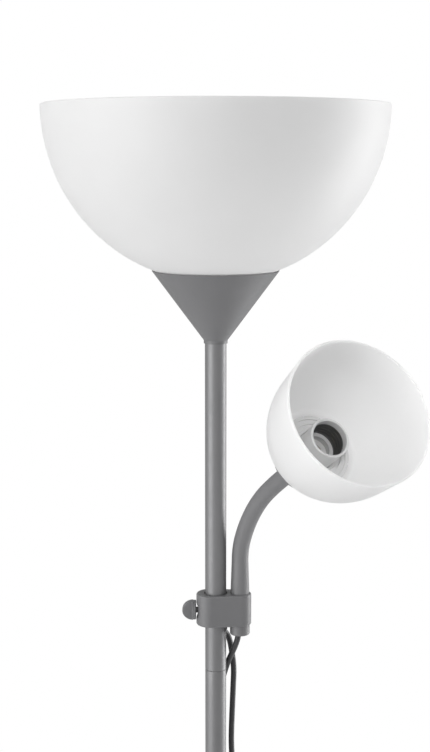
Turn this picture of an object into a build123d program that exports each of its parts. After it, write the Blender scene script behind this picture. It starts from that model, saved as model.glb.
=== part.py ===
from build123d import *
import os
from math import asin, ceil, cos, degrees, pi, radians, sin, sqrt, tan

# Torchiere floor lamp with a reading light on a flexible arm.
# Millimetres. The origin is the middle of the base on the floor, +Z is up, -Y is the front and
# +X is the side that the reading arm stands on. Heights below are floor heights unless they say
# otherwise.

# ---------------------------------------------------------------- clearances
gap = 0.3             # between pieces that are only neighbours
running_gap = 0.08    # radial, between pieces that turn or slide in each other
seat_gap = 0.1        # radial, between fixed pieces that are pushed or screwed together
wall_gap = 0.4        # each side, between a rocker and its window

# ---------------------------------------------------------------- base
base_radius = 125.0
pad_inset = 7.0              # the pad's edge stays this far inside the cover's
pad_thickness = 2.0
plate_thickness = 1.2
cover_wall = 1.5
cover_edge_height = 11.0     # height of the cover's upright edge
cover_shoulder_radius = 28.0
cover_slope_height = 17.5    # rise of the cover's slope
cover_top_radius = 20.0
cover_height = 32.0
cover_edge_rounding = 5.0
cover_top_rounding = 2.0
weight_gap = 1.0             # between the weight and the cover's slope
weight_edge_drop = 3.0       # the weight's shoulder below the cover's, besides that gap
weight_side_gap = 5.0
weight_top_gap = 1.0
weight_hub_radius = 14.0
nut_height = 6.0
nut_across_flats = 17.0
stud_radius = 5.0            # hollow threaded rod
stud_bore_radius = 3.6
foot_radius = 13.0
foot_flange = 2.7
foot_chamfer = 1.0
spigot_length = 12.0

# ---------------------------------------------------------------- pole
pole_radius = 9.0
pole_wall = 1.0
pole_end_chamfer = 0.4       # of each section, which shows as a fine line at the joints
lower_sections = 4
section_length = 317.0
top_section_length = 309.0
joiner_length = 24.0
cable_radius = 2.5
cable_hole_radius = 3.6
cable_hole_above_joint = 33.9
cable_hole_turn = 60.0       # degrees from +X towards +Y
cable_hole_dip = 35.0        # degrees below level
grommet_flange_radius = 4.7
grommet_flange = 1.2
grommet_inside = 2.6         # the sleeve's reach inwards from the pole's surface
grommet_flange_stand = 1.6   # the slanting flange clears the round pole by this and a gap

# ---------------------------------------------------------------- cone under the bowl
cone_drop = 26.4             # the pole's top stands this far inside the cone
cone_lip_radius = 9.9
cone_lip_height = 2.5
cone_wall = 1.6
cone_top_radius = 52.6
cone_sleeve_wall = 2.0
cone_web = 2.3
cone_ribs = 4
cone_rib_thickness = 2.0
cone_rib_root = 0.5          # the ribs start this deep in the sleeve
lock_nut_height = 5.0
nipple_end = 2.0             # threaded end above each lampholder's floor

# ---------------------------------------------------------------- bowl
bowl_radius = 141.5
bowl_curve_depth = 144.0     # half height of the ellipse that the bowl is turned on
bowl_floor_radius = 30.0
bowl_wall = 2.2
rim_rounding = 0.7
shade_floor = 2.2            # floor thickness of both shades

# ---------------------------------------------------------------- lampholders (both alike)
holder_mouth_height = 29.9   # above the shade's seat
holder_cup_depth = 20.0      # below the shade's seat
holder_barrel_radius = 15.8
holder_mouth_radius = 13.8
holder_mouth_chamfer = 0.5
holder_shoulder_radius = 22.0
holder_shoulder = 2.0
holder_cup_radius = 17.5
holder_cup_tip_radius = 12.0
holder_cup_taper = 8.0
holder_wall = 2.5
well_floor = 2.0             # above the shade's seat
well_radius = 10.5
shell_bottom = 7.5
shell_height = 16.5
shell_wall = 0.4
insulator_thickness = 3.0
contact_width = 5.0
contact_thickness = 0.6
contact_rise = 5.0
contact_reach = 4.0
holder_slot_width = 1.5
holder_slot_depth = 0.9
holder_slot_bottom = 5.2
holder_slot_top = 20.0
holder_slot_turns = (-78.0, 78.0)
ring_gap = 0.25
ring_hub_radius = 18.4
ring_hub_height = 2.8
ring_flange_radius = 28.6
ring_flange = 1.8
ring_ridge = 0.8
ring_ridge_radii = (21.5, 25.5)
ring_notches = 12

# ---------------------------------------------------------------- clamp bracket
bracket_above_joint = 39.9
bracket_height = 27.7
bracket_depth = 24.4
bracket_left = 16.5          # from the pole's axis to the bracket's left end
bracket_rounding = 1.6
bracket_hole_radius = 9.9
arm_offset = 20.7            # from the pole's axis to the arm's axis
arm_end_radius = 9.7
socket_depth = 14.0
liner_top_gap = 2.0
liner_bottom_gap = 0.8
screw_height = 12.6          # above the bracket's bottom
screw_radius = 2.5
insert_radius = 4.2
insert_length = 4.6
recess_radius = 6.8
recess_depth = 1.2
pad_length = 1.6
pad_gap = 0.05
screw_travel = 2.0
thumb_hub_radius = 8.35
thumb_hub_length = 3.6
thumb_wing_length = 9.2
thumb_wing_thickness = 6.0
thumb_hub_rounding = 0.8
thumb_wing_rounding = 0.9
thumb_wing_root = 1.0        # the wing starts this deep in the hub
liner_slit = 1.0
arm_nut_radius = 8.45
arm_nut_height = 8.8
nut_cable_hole_radius = 3.8
arm_nut_rounding = 1.2
arm_stud_below = 6.0         # the stud's threaded ends below the bracket and up in the boot
arm_stud_above = 10.0
boot_collar = 3.0            # the boot's straight part above the bracket

# ---------------------------------------------------------------- flexible arm
neck_radius = 7.12
neck_heading = 63.1          # degrees from +X towards -Y
boot_radius = 7.95
boot_height = 27.7           # first pivot above the bracket's top
neck_pitch = 22.0
neck_bends = (26.0, 10.5, 9.0, 8.5, 3.4, 0.0)
neck_socket_gap = 0.48       # between a segment's round end and the hollow in the next one
last_pivot_to_rim = 118.0

# ---------------------------------------------------------------- reading head
shade_rim_radius = 57.86
shade_depth = 78.0
shade_wall = 2.0
shade_taper = 5.4            # degrees, of the straight part below the rim
shade_straight = 32.0
shade_round_radius = 80.0
cap_front_radius = 30.0
cap_edge_radius = 24.7
cap_edge_depth = 18.5
cap_rear_radius = 9.0
cap_depth = 26.0
cap_wall = 1.8
cap_boss_radius = 8.0
ferrule_collar = 2.0
ferrule_socket = 5.0         # how far the nipple reaches into the ferrule
ferrule_collar_radius = 8.0
reading_holder_turn = -58.0  # degrees about the head's axis, as its slots stand in the photo

# ---------------------------------------------------------------- cords and what is on them
switch_place = (30.0, 15.0, 950.0)
switch_size = (34.0, 20.0, 100.0)
switch_wall = 1.8
switch_rounding = 4.5
switch_entry_spacing = 14.0
relief_length = 26.0
relief_wide_radius = 4.8
relief_narrow_radius = 3.3
relief_bore_gap = 0.1
rocker_size = (12.2, 20.6)
rocker_pitch = 30.0
rocker_tilt = 8.0            # degrees, from level to the pressed end
rocker_pivot_depth = 4.5     # of the rocker's axle behind the housing's front face
rocker_end_rise = 6.2        # of the rocker's two ends above its axle
rocker_middle_rise = 4.6
rocker_belly = 2.2
rocker_end_clearance = 1.2
axle_radius = 1.2
axle_length = 1.6
bearing_wall = 2.0
bearing_depth = 6.6
case_screw_radius = 1.5
case_screw_head = 2.8
case_screw_spacing = 84.0
case_screw_recess = 2.0
case_screw_head_height = 1.5
case_boss_wall = 1.2
case_screw_reach = 5.0       # of the screws into the front half
case_end_rounding = 2.0
lead_straight = 48.0         # of each cord, straight out of the switch

coil_place = (20.0, 190.0)
coil_inner_radius = 23.6
coil_pitch = 6.3             # from turn to turn
coil_layer_pitch = 6.0
coil_layers = 4
coil_layer_quarters = 5.75   # quarter turns in each layer
coil_climb_quarters = 2
coil_lift = 1.2
tie_thickness = 0.8
tie_width = 7.0
tail_length = 38.0
plug_width = 35.3
plug_thickness = 13.7
plug_rear_width = 19.0
plug_rear_thickness = 11.0
plug_front_length = 15.0
plug_taper_length = 20.0
pin_radius = 2.0
pin_length = 19.0
pin_spacing = 18.6
pin_rounding = 0.9

# ---------------------------------------------------------------- heights worked out from these
pad_radius = base_radius - pad_inset
plate_bottom = pad_thickness
weight_bottom = plate_bottom + plate_thickness
nut_seat = weight_bottom + gap + nut_height
cover_ceiling = cover_height - cover_wall
pole_bottom = cover_height + foot_flange
pole_joint = pole_bottom + lower_sections * section_length
pole_top = pole_joint + top_section_length
tube_bore_radius = pole_radius - pole_wall
plug_radius = tube_bore_radius - seat_gap
stud_hole_radius = stud_radius + seat_gap

cone_bottom = pole_top - cone_drop
web_top = pole_top + cone_web
bowl_seat = web_top + lock_nut_height + gap + holder_cup_depth
bowl_depth = bowl_curve_depth * sqrt(1 - (bowl_floor_radius / bowl_radius) ** 2)
bowl_rim = bowl_seat + bowl_depth
cone_inner_top_radius = cone_top_radius - cone_wall
cone_top = bowl_rim - bowl_curve_depth * sqrt(1 - (cone_inner_top_radius / bowl_radius) ** 2) - gap
cone_slope = (cone_top_radius - cone_lip_radius) / (cone_top - cone_bottom - cone_lip_height)

bracket_bottom = pole_joint + bracket_above_joint
bracket_top = bracket_bottom + bracket_height
screw_z = bracket_bottom + screw_height
liner_outer_radius = bracket_hole_radius - running_gap
liner_inner_radius = pole_radius + running_gap

neck_base = bracket_top + boot_height
cable_hole_z = pole_joint + cable_hole_above_joint


def turned(points, axis=Axis.Z):
    """A body of revolution from an outline of (radius, height) points."""
    outline = make_face(Polyline(*[(r, 0, z) for r, z in points], close=True))
    return revolve(outline, axis)


def ring(outer, inner, bottom, top):
    """A plain tube about the Z axis."""
    return turned([(inner, bottom), (outer, bottom), (outer, top), (inner, top)])


def disc(radius, bottom, top):
    """A plain round bar about the Z axis."""
    return Pos(0, 0, (bottom + top) / 2) * Cylinder(radius, top - bottom)


def hex_nut(across_flats, bore, bottom, height):
    """A hexagon nut about the Z axis."""
    blank = extrude(RegularPolygon(across_flats / 2, 6, major_radius=False), height)
    return Pos(0, 0, bottom) * (blank - Pos(0, 0, height / 2) * Cylinder(bore, 2 * height))


# ================================================================ base
def cover_outline(inset):
    """The cover's profile, moved inwards by inset, closed on the axis side."""
    slope_top = cover_edge_height + cover_slope_height
    return [
        (0, plate_bottom),
        (base_radius - inset, plate_bottom),
        (base_radius - inset, cover_edge_height - inset),
        (cover_shoulder_radius, slope_top - inset),
        (cover_top_radius, cover_height - inset),
        (0, cover_height - inset),
    ]


def make_base():
    pad = disc(pad_radius, 0, pad_thickness)
    plate = ring(base_radius - cover_wall - gap, stud_radius + nut_height, plate_bottom, weight_bottom)

    outside = turned(cover_outline(0))
    edges = outside.edges().filter_by(GeomType.CIRCLE).group_by(SortBy.RADIUS)[-1]
    outside = fillet(edges.sort_by(Axis.Z)[-1], cover_edge_rounding)
    shoulder = outside.edges().filter_by(lambda e: abs(e.radius - cover_top_radius) < 0.01
                                         if e.geom_type == GeomType.CIRCLE else False)
    outside = fillet(shoulder, cover_top_rounding)
    cover = outside - turned(cover_outline(cover_wall)) - Cylinder(stud_hole_radius, 3 * cover_height)

    inset = cover_wall + weight_gap
    weight_edge = cover_edge_height - inset - weight_edge_drop
    weight_radius = base_radius - cover_wall - weight_side_gap
    weight_top = weight_edge + cover_slope_height - weight_top_gap
    weight = turned([
        (stud_hole_radius, nut_seat),
        (nut_across_flats / sqrt(3) + gap, nut_seat),
        (nut_across_flats / sqrt(3) + gap, weight_bottom),
        (weight_radius, weight_bottom),
        (weight_radius, weight_edge),
        (cover_shoulder_radius, weight_top),
        (weight_hub_radius, weight_top),
        (weight_hub_radius, cover_ceiling),
        (stud_hole_radius, cover_ceiling),
    ])
    nut = hex_nut(nut_across_flats, stud_hole_radius, weight_bottom + gap, nut_height)
    stud = ring(stud_radius, stud_bore_radius, weight_bottom + gap, pole_bottom + spigot_length)
    foot = turned([
        (stud_hole_radius, cover_height),
        (foot_radius, cover_height),
        (foot_radius, pole_bottom - foot_chamfer),
        (foot_radius - foot_chamfer, pole_bottom),
        (plug_radius, pole_bottom),
        (plug_radius, pole_bottom + spigot_length),
        (stud_hole_radius, pole_bottom + spigot_length),
    ])
    return {
        "base_pad": pad,
        "base_plate": plate,
        "base_cover": cover,
        "base_weight": weight,
        "base_nut": nut,
        "base_stud": stud,
        "pole_foot": foot,
    }


# ================================================================ pole
def cable_hole_frame():
    """A plane on the pole's axis whose Z points out of the cable hole, downwards and to the back."""
    turn, dip = radians(cable_hole_turn), radians(cable_hole_dip)
    out = Vector(cos(turn) * cos(dip), sin(turn) * cos(dip), -sin(dip))
    start = Vector(0, 0, cable_hole_z + pole_radius * tan(dip))
    return Plane(origin=start, z_dir=out)


def make_pole():
    def tube(bottom, top):
        return turned([
            (tube_bore_radius, bottom),
            (pole_radius - pole_end_chamfer, bottom),
            (pole_radius, bottom + pole_end_chamfer),
            (pole_radius, top - pole_end_chamfer),
            (pole_radius - pole_end_chamfer, top),
            (tube_bore_radius, top),
        ])

    parts = {}
    sections = []
    for number in range(lower_sections):
        bottom = pole_bottom + number * section_length
        sections.append(tube(bottom, bottom + section_length))
    frame = cable_hole_frame()
    bar_length = 3 * pole_radius
    bar = frame * Pos(0, 0, bar_length / 2) * Cylinder(cable_hole_radius, bar_length)
    sections.append(tube(pole_joint, pole_top) - bar)
    for number, section in enumerate(sections):
        parts[f"pole_section_{number + 1}"] = section

    joiners = []
    for number in range(1, lower_sections + 1):
        joint = pole_bottom + number * section_length
        half = joiner_length / 2
        joiners.append(ring(plug_radius, stud_radius, joint - half, joint + half))
    parts["pole_joiners"] = Compound(children=joiners)

    wall_out = pole_radius / cos(radians(cable_hole_dip))
    sleeve_from = wall_out - grommet_inside
    flange_to = wall_out + grommet_flange + gap + grommet_flange_stand
    sleeve = frame * Pos(0, 0, (sleeve_from + flange_to) / 2) * Cylinder(
        cable_hole_radius - seat_gap, flange_to - sleeve_from)
    flange = frame * Pos(0, 0, flange_to - grommet_flange / 2) * Cylinder(
        grommet_flange_radius, grommet_flange)
    bore = frame * Pos(0, 0, wall_out) * Cylinder(cable_radius + seat_gap, 4 * pole_radius)
    pole_space = disc(pole_radius + seat_gap, pole_joint, pole_top)
    parts["cable_grommet"] = sleeve + flange - pole_space + (sleeve & pole_space) - bore

    parts["pole_top_plug"] = ring(plug_radius, stud_hole_radius, pole_top - spigot_length, pole_top)
    nipple_top = bowl_seat - holder_cup_depth + holder_wall + nipple_end
    parts["top_nipple"] = ring(stud_radius, stud_bore_radius, pole_top - spigot_length, nipple_top)
    return parts


# ================================================================ cone
def make_cone():
    lip_top = cone_bottom + cone_lip_height
    slope_start = (cone_lip_radius, lip_top)
    side = cone_wall * sqrt(1 + cone_slope ** 2)
    bore = pole_radius + seat_gap
    sleeve = bore + cone_sleeve_wall
    inner_start = lip_top + (sleeve - cone_lip_radius + side) / cone_slope
    shell = turned([
        (bore, cone_bottom),
        (cone_lip_radius, cone_bottom),
        slope_start,
        (cone_top_radius, cone_top),
        (cone_top_radius - side, cone_top),
        (sleeve, inner_start),
        (sleeve, web_top),
        (stud_hole_radius, web_top),
        (stud_hole_radius, pole_top),
        (bore, pole_top),
    ])
    rib_reach = (web_top - lip_top) * cone_slope + cone_lip_radius - side / 2
    for number in range(cone_ribs):
        rib = make_face(Polyline(
            (sleeve - cone_rib_root, 0, inner_start - cone_rib_root),
            (rib_reach, 0, web_top),
            (sleeve - cone_rib_root, 0, web_top),
            close=True))
        rib = extrude(rib, cone_rib_thickness / 2, dir=(0, 1, 0), both=True)
        shell = shell + Rot(0, 0, 45 + number * 360 / cone_ribs) * rib
    nut = hex_nut(nut_across_flats, stud_hole_radius, web_top, lock_nut_height)
    return {"shade_cone": shell, "cone_nut": nut}


# ================================================================ bowl
def bowl_solid(inset, floor_z, top_z):
    """The bowl's outer ellipse moved inwards by inset, from floor_z up to top_z, filled."""
    wide = bowl_radius - inset
    deep = bowl_curve_depth - inset
    sunk = (bowl_rim - floor_z) / deep
    floor_radius = wide * sqrt(1 - sunk ** 2)
    curve = EllipticalCenterArc((0, 0), wide, deep, -degrees(asin(sunk)), arc_size=degrees(asin(sunk)))
    edges = [
        Pos(0, 0, bowl_rim) * (Plane.XZ * curve),
        Line((floor_radius, 0, floor_z), (0, 0, floor_z)),
        Line((0, 0, floor_z), (0, 0, top_z)),
        Line((0, 0, top_z), (wide, 0, top_z)),
    ]
    if top_z > bowl_rim:
        edges.append(Line((wide, 0, top_z), (wide, 0, bowl_rim)))
    return revolve(make_face(edges), Axis.Z)


def make_bowl():
    outside = bowl_solid(0, bowl_seat, bowl_rim)
    inside = bowl_solid(bowl_wall, bowl_seat + shade_floor, bowl_rim + bowl_wall)
    hole = disc(holder_barrel_radius + gap, bowl_seat - 1, bowl_seat + 2 * shade_floor)
    bowl = outside - inside - hole
    rim = bowl.edges().filter_by(GeomType.CIRCLE).group_by(Axis.Z)[-1]
    return {"bowl_shade": fillet(rim, rim_rounding)}


# ================================================================ lampholder
def make_holder():
    """One lampholder about Z, its shade seat at z = 0 and its mouth upwards."""
    pocket = holder_mouth_radius
    floor_top = well_floor
    floor_bottom = well_floor - insulator_thickness
    cup_floor = -holder_cup_depth + holder_wall
    taper_top = -holder_cup_depth + holder_cup_taper
    body = turned([
        (stud_hole_radius, -holder_cup_depth),
        (holder_cup_tip_radius, -holder_cup_depth),
        (holder_cup_radius, taper_top),
        (holder_cup_radius, -holder_shoulder),
        (holder_shoulder_radius, -holder_shoulder),
        (holder_shoulder_radius, 0),
        (holder_barrel_radius, 0),
        (holder_barrel_radius, holder_mouth_height - holder_mouth_chamfer),
        (holder_barrel_radius - holder_mouth_chamfer, holder_mouth_height),
        (pocket + holder_mouth_chamfer, holder_mouth_height),
        (pocket, holder_mouth_height - holder_mouth_chamfer),
        (pocket, shell_bottom),
        (well_radius, shell_bottom),
        (well_radius, floor_top),
        (contact_reach, floor_top),
        (contact_reach, floor_bottom),
        (holder_cup_radius - holder_wall, floor_bottom),
        (holder_cup_radius - holder_wall, taper_top + holder_wall / 2),
        (holder_cup_tip_radius - holder_wall, cup_floor),
        (stud_hole_radius, cup_floor),
    ])
    slot_height = holder_slot_top - holder_slot_bottom
    for turn in holder_slot_turns:
        slot = Pos(holder_barrel_radius, 0, holder_slot_bottom + slot_height / 2) * Box(
            2 * holder_slot_depth, holder_slot_width, slot_height)
        body = body - Rot(0, 0, turn) * slot

    shell_radius = pocket - seat_gap
    shell = turned([
        (well_radius, shell_bottom),
        (shell_radius, shell_bottom),
        (shell_radius, shell_bottom + shell_height),
        (shell_radius - shell_wall, shell_bottom + shell_height),
        (shell_radius - shell_wall, shell_bottom + shell_wall),
        (well_radius, shell_bottom + shell_wall),
    ])

    reach = contact_reach + 2.0
    strip = Polyline(
        (-reach, 0, floor_top),
        (-reach, 0, floor_top + contact_thickness),
        (-reach + 2.0, 0, floor_top + contact_thickness),
        (-1.5, 0, floor_top + contact_rise),
        (2.5, 0, floor_top + contact_rise),
        (3.5, 0, floor_top + contact_rise - 1.2),
        (2.9, 0, floor_top + contact_rise - 1.5),
        (2.2, 0, floor_top + contact_rise - contact_thickness),
        (-1.2, 0, floor_top + contact_rise - contact_thickness),
        (-reach + 2.4, 0, floor_top),
        close=True)
    contact = extrude(make_face(strip), contact_width / 2, dir=(0, 1, 0), both=True)

    bore = holder_barrel_radius + ring_gap
    low = shade_floor
    shade_ring = turned([
        (bore, low),
        (ring_flange_radius, low),
        (ring_flange_radius, low + ring_flange),
        (ring_hub_radius, low + ring_flange),
        (ring_hub_radius - 0.6, low + ring_hub_height),
        (bore, low + ring_hub_height),
    ])
    for radius in ring_ridge_radii:
        shade_ring = shade_ring + ring(
            radius + ring_ridge, radius, low + ring_flange, low + ring_flange + ring_ridge)
    notch = Cylinder(1.0, 4 * ring_flange)
    spots = PolarLocations(ring_flange_radius + 0.3, ring_notches)
    shade_ring = shade_ring - [spot * Pos(0, 0, low) * notch for spot in spots]
    return {"holder": body, "thread_shell": shell, "centre_contact": contact, "shade_ring": shade_ring}


# ================================================================ clamp bracket
def bracket_outline():
    """The bracket's plan: the clamp end and the round arm end, joined by their tangents."""
    left_radius = bracket_depth / 2
    left_x = -(bracket_left - left_radius)
    clamp_end = Pos(left_x, 0) * Circle(left_radius)
    arm_end = Pos(arm_offset, 0) * Circle(arm_end_radius)
    return make_hull(clamp_end.edges() + arm_end.edges())


def make_bracket():
    block = Pos(0, 0, bracket_bottom) * extrude(bracket_outline(), bracket_height)
    ends = block.edges().group_by(Axis.Z)
    block = fillet(ends[0] + ends[-1], bracket_rounding)
    middle = (bracket_bottom + bracket_top) / 2
    block = block - Pos(0, 0, middle) * Cylinder(bracket_hole_radius, 2 * bracket_height)
    socket_radius = boot_radius + seat_gap + 0.1
    socket_floor = bracket_top - socket_depth
    block = block - Pos(arm_offset, 0, 0) * disc(socket_radius, socket_floor, bracket_top + 1)
    block = block - Pos(arm_offset, 0, 0) * disc(stud_hole_radius, bracket_bottom - 1, bracket_top)

    recess_floor = -bracket_left + recess_depth
    across = Rot(0, 90, 0)
    block = block - Pos(-bracket_left, 0, screw_z) * across * Cylinder(recess_radius, 2 * recess_depth)
    insert_end = recess_floor + insert_length
    hole_middle = (recess_floor + insert_end) / 2
    insert_hole = Pos(hole_middle, 0, screw_z) * across * Cylinder(insert_radius + seat_gap, insert_length)
    block = block - insert_hole
    through = Pos(-bracket_left / 2, 0, screw_z) * across * Cylinder(
        screw_radius + running_gap, bracket_left)
    block = block - through

    insert = Pos(hole_middle, 0, screw_z) * across * (
        Cylinder(insert_radius, insert_length) - Cylinder(screw_radius + running_gap, 2 * insert_length))

    liner = ring(liner_outer_radius, liner_inner_radius,
                 bracket_bottom + liner_bottom_gap, bracket_top - liner_top_gap)
    slit = Pos(bracket_left / 2, 0, middle) * Box(bracket_left, liner_slit, 2 * bracket_height)
    liner = liner - slit

    pad_inner = -liner_outer_radius - pad_gap
    pad_outer = pad_inner - pad_length
    pad = Pos((pad_inner + pad_outer) / 2, 0, screw_z) * across * Cylinder(screw_radius, pad_length)
    pad = pad - disc(liner_outer_radius + pad_gap, bracket_bottom, bracket_top)

    hub_inner = -bracket_left - gap
    hub_outer = hub_inner - thumb_hub_length
    shank_inner = pad_outer - pad_gap
    shank_outer = hub_outer - thumb_wing_length / 2
    shank_length = shank_inner - shank_outer
    shank = Pos((shank_inner + shank_outer) / 2, 0, screw_z) * across * Cylinder(
        screw_radius, shank_length)
    hub = Pos((hub_inner + hub_outer) / 2, 0, screw_z) * across * Cylinder(
        thumb_hub_radius, thumb_hub_length)
    hub = fillet(hub.edges().filter_by(GeomType.CIRCLE), thumb_hub_rounding)
    wing_round = EllipticalCenterArc((0, 0), thumb_wing_length, thumb_hub_radius, 90, arc_size=180)
    wing_back = Line((0, thumb_hub_radius), (0, -thumb_hub_radius))
    wing_face = Plane.XZ * make_face([wing_round, wing_back])
    wing = extrude(wing_face, thumb_wing_thickness / 2, dir=(0, 1, 0), both=True)
    wing = fillet(wing.edges().filter_by(GeomType.ELLIPSE), thumb_wing_rounding)
    wing = Pos(hub_outer + thumb_wing_root, 0, screw_z) * wing
    head = hub + wing
    head = head - Pos((shank_inner + shank_outer) / 2, 0, screw_z) * across * Cylinder(
        screw_radius + 0.02, shank_length + 0.04)
    return {
        "clamp_bracket": block,
        "screw_insert": insert,
        "clamp_liner": liner,
        "screw_pad": pad,
        "thumb_screw_shank": shank,
        "thumb_screw_head": head,
    }


def make_arm_root():
    """The threaded end of the arm, its nut under the bracket and the boot on top."""
    socket_floor = bracket_top - socket_depth
    nut_bottom = bracket_bottom - arm_nut_height
    stud_bottom = bracket_bottom - arm_stud_below
    stud_top = socket_floor + arm_stud_above
    stud = ring(stud_radius, stud_bore_radius, stud_bottom, stud_top)
    nut_blank = disc(arm_nut_radius, nut_bottom, bracket_bottom)
    lower = nut_blank.edges().filter_by(GeomType.CIRCLE).group_by(Axis.Z)[0]
    nut_blank = fillet(lower, arm_nut_rounding)
    nut = nut_blank - disc(stud_hole_radius, stud_bottom - gap, bracket_bottom + 1)
    nut = nut - disc(nut_cable_hole_radius, nut_bottom - 1, bracket_bottom)
    boot = turned([
        (0, socket_floor),
        (boot_radius, socket_floor),
        (boot_radius, bracket_top + boot_collar),
        (neck_radius, neck_base),
        (0, neck_base),
    ]) + Pos(0, 0, neck_base) * Sphere(neck_radius)
    boot = boot - disc(stud_hole_radius, socket_floor - 1, stud_top + gap)
    place = Pos(arm_offset, 0, 0)
    return {"arm_stud": place * stud, "arm_nut": place * nut, "arm_boot": place * boot}


# ================================================================ flexible arm
def neck_frames():
    """Each pivot's plane: Z along the arm, X the way it leans, so Y is the axis it bends about."""
    heading = radians(neck_heading)
    lean = Vector(cos(heading), -sin(heading), 0)
    up = Vector(0, 0, 1)
    place = Vector(arm_offset, 0, neck_base)
    frames = []
    tilt = 0.0
    for bend in neck_bends + (None,):
        along = up * cos(tilt) + lean * sin(tilt)
        across = lean * cos(tilt) - up * sin(tilt)
        frames.append(Plane(origin=place, x_dir=across, z_dir=along))
        if bend is None:
            break
        turn = radians(bend)
        if turn < 0.001:
            place = place + along * neck_pitch
        else:
            size = neck_pitch / turn
            place = place + lean * (size * (cos(tilt) - cos(tilt + turn)))
            place = place + up * (size * (sin(tilt + turn) - sin(tilt)))
        tilt = tilt + turn
    return frames


def make_neck():
    frames = neck_frames()
    hollow = neck_radius + neck_socket_gap
    parts = {}
    for number in range(len(neck_bends)):
        here, there = frames[number], frames[number + 1]
        if neck_bends[number] > 0.001:
            path = TangentArc(here.origin, there.origin, tangent=here.z_dir)
        else:
            path = Line(here.origin, there.origin)
        tube = sweep(here * Circle(neck_radius), path=path)
        segment = tube + Pos(there.origin) * Sphere(neck_radius) - Pos(here.origin) * Sphere(hollow)
        parts[f"neck_segment_{number + 1}"] = segment
    return parts


# ================================================================ reading head
def head_plane():
    """The reading head's frame: the origin on the shade's seat, Z along its axis to the rim."""
    last = neck_frames()[-1]
    origin = last.origin + last.z_dir * (last_pivot_to_rim - shade_depth)
    return Plane(origin=origin, x_dir=last.x_dir, z_dir=last.z_dir)


def shade_profile(inset, floor_z, top_z):
    """The reading shade's half outline: a slight taper below the rim, then one round arc."""
    taper = radians(shade_taper)
    rim = Vector(shade_rim_radius, 0, shade_depth)
    knee = rim - Vector(shade_straight * tan(taper), 0, shade_straight)
    inward = Vector(-cos(taper), 0, sin(taper))
    centre = knee + inward * shade_round_radius
    radius = shade_round_radius - inset
    knee = knee + inward * inset
    floor_r = centre.X + sqrt(radius ** 2 - (floor_z - centre.Z) ** 2)
    top = knee + Vector(tan(taper), 0, 1) * (top_z - knee.Z)
    edges = [
        Line((0, 0, top_z), top),
        Line(top, knee),
        TangentArc(knee, (floor_r, 0, floor_z), tangent=(-sin(taper), 0, -cos(taper))),
        Line((floor_r, 0, floor_z), (0, 0, floor_z)),
        Line((0, 0, floor_z), (0, 0, top_z)),
    ]
    return make_face(edges)


def make_head():
    outside = revolve(shade_profile(0, 0, shade_depth), Axis.Z)
    inside = revolve(shade_profile(shade_wall, shade_floor, shade_depth + 5), Axis.Z)
    shade = outside - inside - Cylinder(holder_barrel_radius + gap, 4 * shade_floor)
    rim = shade.edges().filter_by(GeomType.CIRCLE).group_by(Axis.Z)[-1]
    shade = fillet(rim, rim_rounding)

    def cap_outline(inset, front):
        return [
            (0, front),
            (cap_front_radius - inset, front),
            (cap_edge_radius - inset, -cap_edge_depth + inset / 2),
            (cap_rear_radius, -cap_depth + inset),
            (0, -cap_depth + inset),
        ]

    cap = turned(cap_outline(0, -gap)) - turned(cap_outline(cap_wall, 1.0))
    cap = cap - Cylinder(stud_hole_radius, 4 * cap_depth)
    cap = cap + ring(cap_boss_radius, stud_hole_radius, -cap_depth, -holder_cup_depth)
    nipple_bottom = -cap_depth - ferrule_socket
    nipple_top = -holder_cup_depth + holder_wall + nipple_end
    nipple = ring(stud_radius, stud_bore_radius, nipple_bottom, nipple_top)

    last_pivot = shade_depth - last_pivot_to_rim
    ferrule = turned([
        (0, last_pivot),
        (neck_radius, last_pivot),
        (neck_radius, -cap_depth - ferrule_collar),
        (ferrule_collar_radius, -cap_depth - ferrule_collar),
        (ferrule_collar_radius, -cap_depth),
        (0, -cap_depth),
    ])
    ferrule = ferrule - Pos(0, 0, last_pivot) * Sphere(neck_radius + neck_socket_gap)
    ferrule = ferrule - disc(stud_hole_radius, nipple_bottom - gap, -cap_depth + 1)
    return {
        "head_ferrule": ferrule,
        "head_nipple": nipple,
        "head_cap": cap,
        "reading_shade": shade,
    }


# ================================================================ cords
def rounded_path(points):
    """Straight runs joined by arcs, each as large as its two runs allow."""
    points = [Vector(*p) for p in points]
    radii = []
    for before, corner, after in zip(points, points[1:], points[2:]):
        arriving, leaving = corner - before, after - corner
        turn = radians(arriving.get_angle(leaving))
        radii.append(0.45 * min(arriving.length, leaving.length) / tan(turn / 2))
    return FilletPolyline(*points, radius=radii), radii


def cord_tube(name, points):
    """A round cord along the rounded path, with its radii, length and volume printed."""
    path, radii = rounded_path(points)
    start = Plane(origin=path @ 0, z_dir=path % 0)
    tube = sweep(start * Circle(cable_radius), path=path)
    expected = pi * cable_radius ** 2 * path.length
    print(f"{name}: length {path.length:.1f} mm, volume / expected {tube.volume / expected:.4f}, "
          f"radii {', '.join(f'{r:.0f}' for r in radii)}")
    return tube


# The two upper cords' heights below: from the bracket or the cable hole at the top, and further
# down as the share of the way up from the straight ends over the switch to the cable hole.
def share_up(share):
    return straight_top_z + share * (cable_hole_z - straight_top_z)


switch_x, switch_y, switch_z = switch_place
switch_half = switch_size[2] / 2
entry_left_x = switch_x - switch_entry_spacing / 2
entry_right_x = switch_x + switch_entry_spacing / 2
entry_z = switch_z + switch_half
exit_z = switch_z - switch_half
straight_top_z = entry_z + lead_straight
straight_low_z = exit_z - lead_straight

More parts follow.
